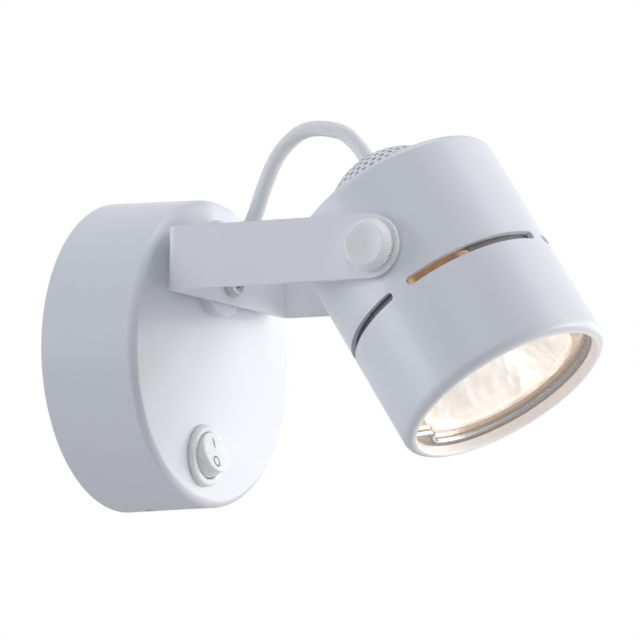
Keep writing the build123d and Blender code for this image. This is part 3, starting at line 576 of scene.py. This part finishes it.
ROCKER_PIVOT = Vector(joints["switch_rock"]["pos_m"])
ROCKER_TIP = math.radians(-16.5)
ROCKER_FACE = 3.6 * MM
MARK_HEIGHT = 3.15 * MM
MARK_STROKE = 0.42 * MM
MARK_PROUD = 0.03 * MM
MARK_SINK = 0.05 * MM
MARK_SIDES = 40
ON_PLACE = (-0.1 * MM, 2.65 * MM)
ON_SPREAD = 1.4
ON_CORE = 0.04 * MM
OFF_PLACE = (-0.9 * MM, -2.9 * MM)


def rocker_point(x, up, proud):
    """A point over the rocker's flat face, measured before the rocker tips."""
    level = Vector((x, -ROCKER_FACE - proud, up))
    return ROCKER_PIVOT + Matrix.Rotation(ROCKER_TIP, 3, "X") @ level


def printed_mark(name, outer, inner):
    """A printed mark: the outline's band, a hair proud of the rocker and sunk a little into it."""
    bm = bmesh.new()
    top_outer, top_inner, low_outer, low_inner = (
        [bm.verts.new(rocker_point(x, up, proud)) for x, up in edge]
        for proud in (MARK_PROUD, -MARK_SINK)
        for edge in (outer, inner)
    )
    top, low = (top_outer, top_inner), (low_outer, low_inner)
    sides = (top, low, (top_outer, low_outer), (top_inner, low_inner))
    for k in range(MARK_SIDES):
        after = (k + 1) % MARK_SIDES
        for a, b in sides:
            bm.faces.new((a[k], a[after], b[after], b[k]))
    piece = link_mesh(name, bm, print_grey, smooth=False)
    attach(piece, "rocker")


def ring_outline(place, half_width, half_height):
    x, up = place
    angles = angles_round(MARK_SIDES)
    return [(x + half_width * math.cos(a), up + half_height * math.sin(a)) for a in angles]


def add_switch_marks():
    """The plain I and O on the rocker's two ends."""
    half_height = MARK_HEIGHT / 2
    half_stroke = MARK_STROKE / 2
    printed_mark(
        "switch_mark_on",
        ring_outline(ON_PLACE, ON_SPREAD * half_stroke, half_height),
        ring_outline(ON_PLACE, ON_CORE, half_height - half_stroke),
    )
    printed_mark(
        "switch_mark_off",
        ring_outline(OFF_PLACE, half_height, half_height),
        ring_outline(OFF_PLACE, half_height - MARK_STROKE, half_height - MARK_STROKE),
    )


add_switch_marks()


# Stage and light, in metres and watts

FLOOR_DROP = 0.215
FLOOR_REACH = 3.0
FLOOR_SIDES = 64
FLOOR_PATCH = 0.3
FLOOR_TONES = ((0.78, 0.78, 0.78), (0.81, 0.81, 0.81))
LAMP_AIM = Vector((0, -0.06, 0.01))
LAMP_WIDTH = 1.3
NEAR_LAMP_WIDTH = 0.35
NEUTRAL = (1, 1, 1)
COOL = (0.94, 0.97, 1.05)
WARM = (1.01, 1.0, 0.975)


def add_floor():
    """Pale floor that sends light back up. A camera sees the white world in its place, from below too."""
    bm = bmesh.new()
    level = cad_box[0].z - FLOOR_DROP
    rim = [(FLOOR_REACH * math.cos(a), FLOOR_REACH * math.sin(a), level) for a in angles_round(FLOOR_SIDES)]
    bm.faces.new([bm.verts.new(corner) for corner in rim])
    finish = Finish("floor", {"Roughness": 0.8})
    finish.colour(*FLOOR_TONES, finish.noise(FLOOR_PATCH))
    floor = link_mesh("floor", bm, finish.material)
    floor.visible_camera = False


def add_lamp(name, place, power, colour, width=LAMP_WIDTH):
    """Round soft lamp that faces the object."""
    light = bpy.data.lights.new(name, "AREA")
    light.shape = "DISK"
    light.size = width
    light.energy = power
    light.color = colour
    lamp = bpy.data.objects.new(name, light)
    lamp.location = place
    lamp.rotation_euler = (LAMP_AIM - lamp.location).to_track_quat("-Z", "Y").to_euler()
    lamp.visible_camera = False
    scene.collection.objects.link(lamp)


def add_world(ambient, strength):
    """Soft light all round; a camera, a mirror or a glass sees plain white there."""
    world = bpy.data.worlds.new("studio")
    world.use_nodes = True
    tree = world.node_tree
    tree.nodes.clear()
    path = tree.nodes.new("ShaderNodeLightPath")
    seen = path.outputs["Is Camera Ray"]
    for name in ("Is Glossy Ray", "Is Transmission Ray"):
        either = tree.nodes.new("ShaderNodeMath")
        either.operation = "MAXIMUM"
        tree.links.new(seen, either.inputs[0])
        tree.links.new(path.outputs[name], either.inputs[1])
        seen = either.outputs[0]
    soft = tree.nodes.new("ShaderNodeBackground")
    soft.inputs["Color"].default_value = (*ambient, 1)
    soft.inputs["Strength"].default_value = strength
    white = tree.nodes.new("ShaderNodeBackground")
    white.inputs["Color"].default_value = (1, 1, 1, 1)
    mix = tree.nodes.new("ShaderNodeMixShader")
    out = tree.nodes.new("ShaderNodeOutputWorld")
    tree.links.new(seen, mix.inputs[0])
    tree.links.new(soft.outputs[0], mix.inputs[1])
    tree.links.new(white.outputs[0], mix.inputs[2])
    tree.links.new(mix.outputs[0], out.inputs["Surface"])
    scene.world = world


add_floor()
add_lamp("right", (0.95, -1.71, 0.01), power=22.2, colour=WARM)
add_lamp("right_high", (0.72, -1.31, 1.25), power=4.8, colour=NEUTRAL)
add_lamp("back_right", (1.75, -0.78, 0.3), power=6.6, colour=NEUTRAL)
add_lamp("left", (-1.05, 1.52, 0.2), power=13.6, colour=COOL)
add_lamp("top", (0.0, -0.16, 1.91), power=12.0, colour=COOL)
add_lamp("near_left", (-0.42, -0.24, 0.23), power=0.48, colour=COOL, width=NEAR_LAMP_WIDTH)
add_world(COOL, strength=0.05)
